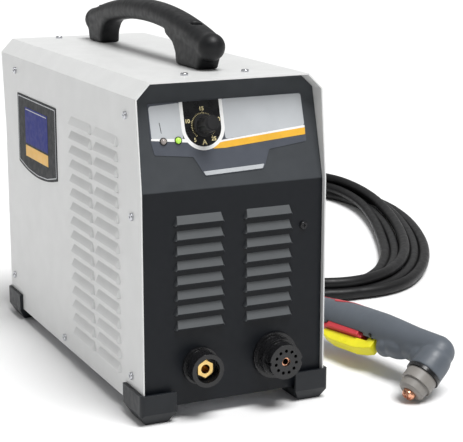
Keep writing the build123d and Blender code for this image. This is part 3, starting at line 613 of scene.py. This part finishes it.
def label_fields():
    """The label's fields as (name, outlines, how far they stand over the print, finish)."""
    x, y, r = TONGUE
    outer = r + BORDER
    tongue = [(x - r, 85.4), *arc(x, y, r, 180, 360, ARC_STEPS), (x + r, 85.8)]
    border = [(x - outer, 85.2), *arc(x, y, outer, 180, 360, ARC_STEPS), (x + outer, 86), *tongue[::-1]]
    left = [(-80.8, 83), (-80.8, 51), (-48, 49.2), (x - outer + 0.6, 56), (x - outer + 0.6, 84.8)]
    right = [(x + outer - 0.6, 85.8), (x + outer - 0.6, 46.4), (84.3, 53.8), (83.6, 86.2)]
    left_line = [(-81.3, 52), (-81.2, 50.1), (-40, 45.4), (-42, 49.2)]
    right_line = [(-12, 45.4), (-12, 43.2), (84.4, 51.6), (84.4, 54)]
    band = [(-20, 41.6), (-17.5, 38), (-5, 37.8), (84.2, 44.8), (84.5, 51.8), (-6, 44.2)]
    radius, steps = SHAFT_HOLE
    hole = arc(*DIAL_AT, radius, 0, 350, steps)
    return (
        ("label_left", [softened(left, 3)], 0, SILVER),
        ("label_right", [softened(right, 3)], 0, SILVER),
        ("label_left_line", [left_line], 0.05, INK_WHITE),
        ("label_right_line", [right_line], 0.05, INK_WHITE),
        ("label_band", [softened(band, 0.8)], 0.1, INK_YELLOW),
        ("label_border", [border], 0.2, INK_WHITE),
        ("label_tongue", [tongue, hole[::-1]], 0.12, INK_BLACK),
    )


def control_label():
    """The printed film of the control face: silver fields, white lines, a yellow band and the dial."""
    made = [
        plate(name, outlines, FILM, PRINT + over, FACE, finish)
        for name, outlines, over, finish in label_fields()
    ]
    bar = [(-31, 16.6), (35.1, 19), (33, 14.7), (-28.5, 12.6)]
    made.append(plate("label_bar", [softened(bar, 1)], 0, PRINT + BAR_OVER, FACE, SILVER, 0.2))
    mark = [(-71.6, 67), (-70.9, 67), (-69.9, 56.5), (-70.5, 56.5)]
    made.append(plate("label_mark", [mark], FILM, PRINT + 0.05, FACE, INK_BLACK, 0.03))
    for number, text in enumerate(NUMBERS):
        angle = math.radians(NUMBER_FIRST - NUMBER_STEP * number)
        x = NUMBER_MIDDLE[0] + NUMBER_REACH[0] * math.cos(angle)
        y = NUMBER_MIDDLE[1] + NUMBER_REACH[1] * math.sin(angle)
        made.append(lettering(f"dial_{text}", text, NUMBER_SIZE, x, y, PRINT + NUMBER_OVER, FACE, DIAL))
    made.append(lettering("dial_unit", "A", UNIT_SIZE, *UNIT_AT, PRINT + NUMBER_OVER, FACE, DIAL))
    made.append(dial_ticks())
    for piece in made:
        keep(piece)


def dial_ticks():
    """Short lines round the knob, every ninth one longer."""
    build = bmesh.new()
    centre = Matrix.Translation((*DIAL_AT, PRINT + TICK_OVER))
    for tick in range(TICKS):
        angle = TICK_FIRST - TICK_SWEEP * tick / (TICKS - 1)
        length = TICK_SHORT if tick % TICKS_PER_LONG else TICK_LONG
        outwards = Matrix.Translation((TICK_START + length / 2, 0, 0))
        size = Matrix.Diagonal((length, TICK_WIDTH, TICK_DEPTH, 1))
        bmesh.ops.create_cube(build, size=1, matrix=centre @ turn(angle, "Z") @ outwards @ size)
    piece = made_of("dial_ticks", build, FACE)
    paint(piece, DIAL)
    return piece


# ---------------------------------------------------------------- side badges

# A badge's reach along the side and its heights, and its bowed lower edge as (y, z)
BADGE_Y = (27, 167)
BADGE_Z = (200, 281)
BADGE_BOW = ((62, 193.2), (97, 191), (132, 193.2))
BADGE_CORNER = 2
# the prints start inside the film: the line's insets, height and bevel, and then the fields as
# (name, y0, y1, z0, z1, height, finish, bevel), with their corners
BADGE_FILM = 0.7
BADGE_LINE = (2.2, 3.2)
BADGE_LINE_HEIGHT = 0.92
BADGE_LINE_EDGE = 0.04
FIELD_CORNER = 0.6
BADGE_FIELDS = (
    ("field", 57, 139, 226, 268, 0.95, INK_BLUE, 0.04),
    ("rule", 60, 136, 265, 266, 1.0, SILVER, 0.03),
    ("bar", 57, 139, 210.5, 223.5, 0.95, INK_YELLOW, 0.04),
)


def badge_outline(side, inset):
    """A badge's outline, drawn in from its edge."""
    y0, y1 = BADGE_Y
    z0, z1 = BADGE_Z
    points = [(y0 + inset, z0 + inset)]
    points += [(y, z + inset) for y, z in BADGE_BOW]
    points += [(y1 - inset, z0 + inset), (y1 - inset, z1 - inset), (y0 + inset, z1 - inset)]
    return softened([(side * y, z) for y, z in points], BADGE_CORNER)


def side_badges():
    """A plain badge on each side: a line round it, a blue field and a yellow bar."""
    for side, name in ((-1, "left"), (1, "right")):
        axes = Matrix(((0, 0, side, 0), (side, 0, 0, 0), (0, 1, 0, 0), (0, 0, 0, 1)))
        matrix = Matrix.Translation(at(side * SIDE_X, 0, 0)) @ axes @ Matrix.Scale(MM, 4)
        outer, inner = [badge_outline(side, inset) for inset in BADGE_LINE]
        prints = [("line", [outer, inner[::-1]], BADGE_LINE_HEIGHT, SILVER, BADGE_LINE_EDGE)]
        for kind, y0, y1, z0, z1, height, finish, edge in BADGE_FIELDS:
            corners = [(side * y, z) for y, z in ((y0, z0), (y1, z0), (y1, z1), (y0, z1))]
            prints.append((kind, [softened(corners, FIELD_CORNER)], height, finish, edge))
        for kind, outlines, height, finish, edge in prints:
            piece = plate(f"badge_{kind}_{name}", outlines, BADGE_FILM, height, matrix, finish, edge)
            keep(piece)


# ---------------------------------------------------------------- mouldings

# mouldings whose edges and joins flow into one another, as (node, voxel in mm, smoothing passes)
MELTED = (("handle_grip", 1.5, 18), ("torch_trigger", 0.6, 6), ("safety_lever", 0.6, 8))
MELT_SOFTNESS = 0.5


def melt_mouldings():
    """Softens the edges and joins of the mouldings."""
    for name, voxel, passes in MELTED:
        joined = NODES[name].modifiers.new("join", "REMESH")
        joined.mode = "VOXEL"
        joined.voxel_size = voxel * MM
        joined.use_smooth_shade = True
        soft = NODES[name].modifiers.new("soften", "SMOOTH")
        soft.factor = MELT_SOFTNESS
        soft.iterations = passes


def joined_rings(build, rings):
    """Faces between each closed ring of vertices and the next."""
    for ring, following in zip(rings, rings[1:]):
        for one in range(len(ring)):
            other = (one + 1) % len(ring)
            build.faces.new((ring[one], ring[other], following[other], following[one]))


def lathe(name, profile, matrix, finish, body=ROOT, stands_for=()):
    """A closed profile of (radius, height) in millimetres turned about Z."""
    build = bmesh.new()
    rings = []
    for angle in ROUND_ANGLES:
        way = (math.cos(angle), math.sin(angle))
        rings.append([build.verts.new((r * way[0], r * way[1], h)) for r, h in profile])
    joined_rings(build, rings + rings[:1])
    piece = made_of(name, build, matrix)
    smoothed(piece.data)
    paint(piece, finish)
    keep(piece, body, stands_for)


# The lamps, as (across, up the slope), and the profile of the ring round each
LAMPS = {"power": (-53.5, 48.5), "fault": (-69, 48.5)}
BEZEL = ((3.05, 0.3), (3.05, 1.0), (3.25, 1.25), (3.6, 1.25), (3.85, 1.0), (3.85, 0.3))


def bezels():
    """A thin dark ring round each lamp."""
    for name, spot in LAMPS.items():
        lathe(f"{name}_bezel", BEZEL, FACE @ Matrix.Translation((*spot, 0)), INK_BLACK)


# The boot: where it starts along the torch, its radii at both ends, its bore, its ribs, and one rib
# and its groove as (part of the pitch, depth)
BOOT_START = 233
BOOT_RADII = (11.2, 9.0)
BOOT_BORE = 7.7
BOOT_RIBS = 8
BOOT_RIB = ((0, 0), (0.55, 0), (0.62, 1.1), (0.93, 1.1))


def strain_boot():
    """The ribbed rubber boot where the lead leaves the torch."""
    reach = BOOT_END - BOOT_START
    first, last = BOOT_RADII
    profile = [(BOOT_BORE, reach), (BOOT_BORE, 0)]
    for rib in range(BOOT_RIBS):
        for part, groove in BOOT_RIB:
            along = (rib + part) / BOOT_RIBS
            profile.append((first + (last - first) * along - groove, along * reach))
    profile.append((last, reach))
    matrix = TORCH @ Matrix.Translation((BOOT_START, 0, 0)) @ turn(90, "Y")
    lathe("ribbed_boot", profile, matrix, BOOT, stands_for=("strain_boot",))


# ---------------------------------------------------------------- torch

# the skin that the red wing lies on: distance behind the elbow, half width, half height, middle
WING_SECTIONS = ((95, 18, 20.5, 3), (155, 17.5, 20.5, 4.5), (205, 16, 18, 4))
# the wing's edge on the flank: distance behind the elbow, and degrees down from the top
WING_EDGE = ((134, 4), (150, 30), (166, 52), (177, 60), (184, 38), (206, 32))
# its steps along the handle and its strips down the flank, how far it stands off, and its thickness
WING_STEPS = 24
WING_STRIPS = 8
WING_PROUD = 0.1
WING_THICKNESS = 0.9


def between(keys, value):
    """Straight values between keys."""
    for low, high in zip(keys, keys[1:]):
        if value <= high[0]:
            part = (value - low[0]) / (high[0] - low[0])
            return [a + (b - a) * part for a, b in zip(low[1:], high[1:])]
    return keys[-1][1:]


def red_wing():
    """The red insert's wing, moulded into the side of the handle."""
    build = bmesh.new()
    rows = []
    start = WING_EDGE[0][0]
    end = WING_EDGE[-1][0]
    for step in range(WING_STEPS + 1):
        x = start + (end - start) * step / WING_STEPS
        half_width, half_height, middle = between(WING_SECTIONS, x)
        last = between(WING_EDGE, x)[0]
        row = []
        for strip in range(WING_STRIPS + 1):
            angle = math.radians(last * strip / WING_STRIPS)
            across = (half_width + WING_PROUD) * math.sin(angle)
            up = middle + (half_height + WING_PROUD) * math.cos(angle)
            row.append(build.verts.new((x, across, up)))
        rows.append(row)
    for row, following in zip(rows, rows[1:]):
        for one in range(WING_STRIPS):
            build.faces.new((row[one], row[one + 1], following[one + 1], following[one]))
    piece = made_of("red_wing", build, TORCH)
    piece.data.polygons.foreach_set("use_smooth", [True] * len(piece.data.polygons))
    thick = piece.modifiers.new("thickness", "SOLIDIFY")
    thick.thickness = WING_THICKNESS * MM
    thick.offset = 0
    paint(piece, TORCH_RED)
    keep(piece)


# the body: distance behind the elbow, half width, half height, middle
BODY_SECTIONS = (
    (0, 16, 16, -0.5), (40, 17, 17.8, 0), (70, 17.6, 19.4, 1.7), (95, 18, 20.5, 3), (125, 17.8, 20.6, 4),
    (155, 17.5, 20.5, 4.5), (205, 16, 18, 4), (225, 14.5, 15.6, 2.3), (240, 12.5, 13, 0.5),
)
# the body's swellings, as (along, across, up) of a middle and the three reaches round it
BODY_SWELLS = (
    ((1, 0, -2), (16.5, 16.5, 16.5)), ((15, 0, -12), (19, 13, 15)), ((30, 0, -9), (24, 13, 12)),
    ((58, 0, -11), (24, 12, 13)), ((72, 0, -14), (13, 10.5, 12)),
)
# the head's lean in degrees, and its radius at distances from the elbow
HEAD_LEAN = 183
HEAD_SECTIONS = ((4, 15.5), (9, 17.6), (15, 18.4), (22, 18.6), (31, 18.6))
# the openings for the trigger and the lever: the outline of each cut, and half its width
OPENINGS = (
    (((81.5, -5), (186, -5), (186, -45), (81.5, -45)), 8.9),
    (((105, -5), (170, -5), (170, -45), (105, -45)), 11.3),
    (((107, -17), (124, -12.6), (140, -11.3), (156, -11.6), (171, -14), (171, -45), (107, -45)), 30),
)
# how the parts of the body melt into one: voxel in millimetres, and smoothing
BODY_VOXEL = 1.0
BODY_SOFTNESS = 0.6
BODY_PASSES = 14


def tube(build, rings):
    """A closed skin through rings of points."""
    made = [[build.verts.new(point) for point in ring] for ring in rings]
    joined_rings(build, made)
    build.faces.new(made[0][::-1])
    build.faces.new(made[-1])


def body_blank():
    """The handle, the head and the swellings, as overlapping closed skins."""
    build = bmesh.new()
    round_points = [(math.cos(angle), math.sin(angle)) for angle in ROUND_ANGLES]
    handle = [[(x, w * c, middle + h * s) for c, s in round_points] for x, w, h, middle in BODY_SECTIONS]
    tube(build, handle)
    lean = turn(HEAD_LEAN, "Y")
    head = [[lean @ Vector((r * c, r * s, out)) for c, s in round_points] for out, r in HEAD_SECTIONS]
    tube(build, head)
    for middle, reach in BODY_SWELLS:
        place = Matrix.Translation(middle) @ Matrix.Diagonal((*reach, 1))
        bmesh.ops.create_icosphere(build, subdivisions=4, radius=1, matrix=place)
    return made_of("torch_body", build)


def torch_body():
    """The torch's moulded body: the handle flows into the head, and the trigger sits in its slot."""
    body = body_blank()
    joined = body.modifiers.new("join", "REMESH")
    joined.mode = "VOXEL"
    joined.voxel_size = BODY_VOXEL
    soft = body.modifiers.new("soften", "SMOOTH")
    soft.factor = BODY_SOFTNESS
    soft.iterations = BODY_PASSES
    cutters = []
    for outline, half in OPENINGS:
        cut = bmesh.new()
        tube(cut, [[(x, side, z) for x, z in outline] for side in (-half, half)])
        cutters.append(made_of("opening", cut))
        opening = body.modifiers.new("opening", "BOOLEAN")
        opening.operation = "DIFFERENCE"
        opening.solver = "EXACT"
        opening.object = cutters[-1]
    result = body.evaluated_get(bpy.context.evaluated_depsgraph_get())
    finished = bpy.data.meshes.new_from_object(result)
    body.modifiers.clear()
    body.data = finished
    for cutter in cutters:
        bpy.data.objects.remove(cutter)
    finished.transform(TORCH)
    smoothed(finished)
    paint(body, TORCH_GREY)
    keep(body, stands_for=("torch_shell_left", "torch_shell_right"))


# The mark on the lever: its middle as (along, down), its ring's profile, and its lines with their
# pitch, their half length and half width, and how far out they start and end
MARK_AT = (128, 24.5)
MARK_RING = ((3.9, 6.2), (3.9, 6.9), (4.5, 6.9), (4.5, 6.2))
MARK_LINES = 3
MARK_PITCH = 1.7
MARK_REACH = 2.2
MARK_HALF = 0.25
MARK_DEPTH = (6.2, 6.85)


def lever_mark():
    """A raised ring on the lever with three lines in it."""
    middle = TORCH @ turn(-90, "X") @ Matrix.Translation((*MARK_AT, 0))
    lathe("lever_ring", MARK_RING, middle, TORCH_YELLOW, "lever")
    for number in range(MARK_LINES):
        low = MARK_PITCH * (number - 1) - MARK_HALF
        high = low + 2 * MARK_HALF
        line = [(-MARK_REACH, low), (MARK_REACH, low), (MARK_REACH, high), (-MARK_REACH, high)]
        piece = plate(f"lever_line_{number}", [line], *MARK_DEPTH, middle, TORCH_YELLOW, 0.05)
        keep(piece, "lever")


# ---------------------------------------------------------------- stage

# Light: a wide soft source above the front, and a room that is darker in front than behind
SUN_FROM = (0.1, -0.36, 0.93)
SUN_SPREAD = 30
SUN_STRENGTH = 3.3
SKY_FRONT = 0.2
SKY_BACK = 0.45
SKY_CHANGES = (-0.8, 0.4)
# half the floor's side, and how far it lies under the unit, in metres
FLOOR_HALF = 30
FLOOR_DROP = 0.0004


def stage():
    """A pale floor under a soft light, in a plain room."""
    corners = [(x * FLOOR_HALF, y * FLOOR_HALF, 0) for x, y in ((-1, -1), (1, -1), (1, 1), (-1, 1))]
    mesh = bpy.data.meshes.new("floor")
    mesh.from_pydata(corners, [], [(0, 1, 2, 3)])
    floor = bpy.data.objects.new("floor", mesh)
    bpy.context.collection.objects.link(floor)
    floor.location.z = -FLOOR_DROP
    paper = surface("floor_paper", (0.90, 0.90, 0.90), 0.75, grain=3, depth=0.01, mottle=0.01, patch=300)
    paint(floor, paper)
    sun = bpy.data.objects.new("sun", bpy.data.lights.new("sun", "SUN"))
    sun.data.energy = SUN_STRENGTH
    sun.data.angle = math.radians(SUN_SPREAD)
    sun.rotation_euler = Vector(SUN_FROM).to_track_quat("Z", "Y").to_euler()
    bpy.context.collection.objects.link(sun)
    world = bpy.data.worlds.new("studio")
    world.use_nodes = True
    tree = world.node_tree
    way = node(tree, "ShaderNodeTexCoord").outputs["Generated"]
    back = node(tree, "ShaderNodeSeparateXYZ", Vector=way).outputs["Y"]
    glow = spread(tree, back, *SKY_CHANGES, SKY_FRONT, SKY_BACK)
    tree.links.new(glow, tree.nodes["Background"].inputs["Strength"])
    tree.nodes["Background"].inputs["Color"].default_value = (1, 1, 1, 1)
    bpy.context.scene.world = world
    bpy.context.scene.view_settings.view_transform = "Standard"


paint(lead, RUBBER)
melt_mouldings()
control_label()
side_badges()
bezels()
strain_boot()
torch_body()
red_wing()
lever_mark()
stage()
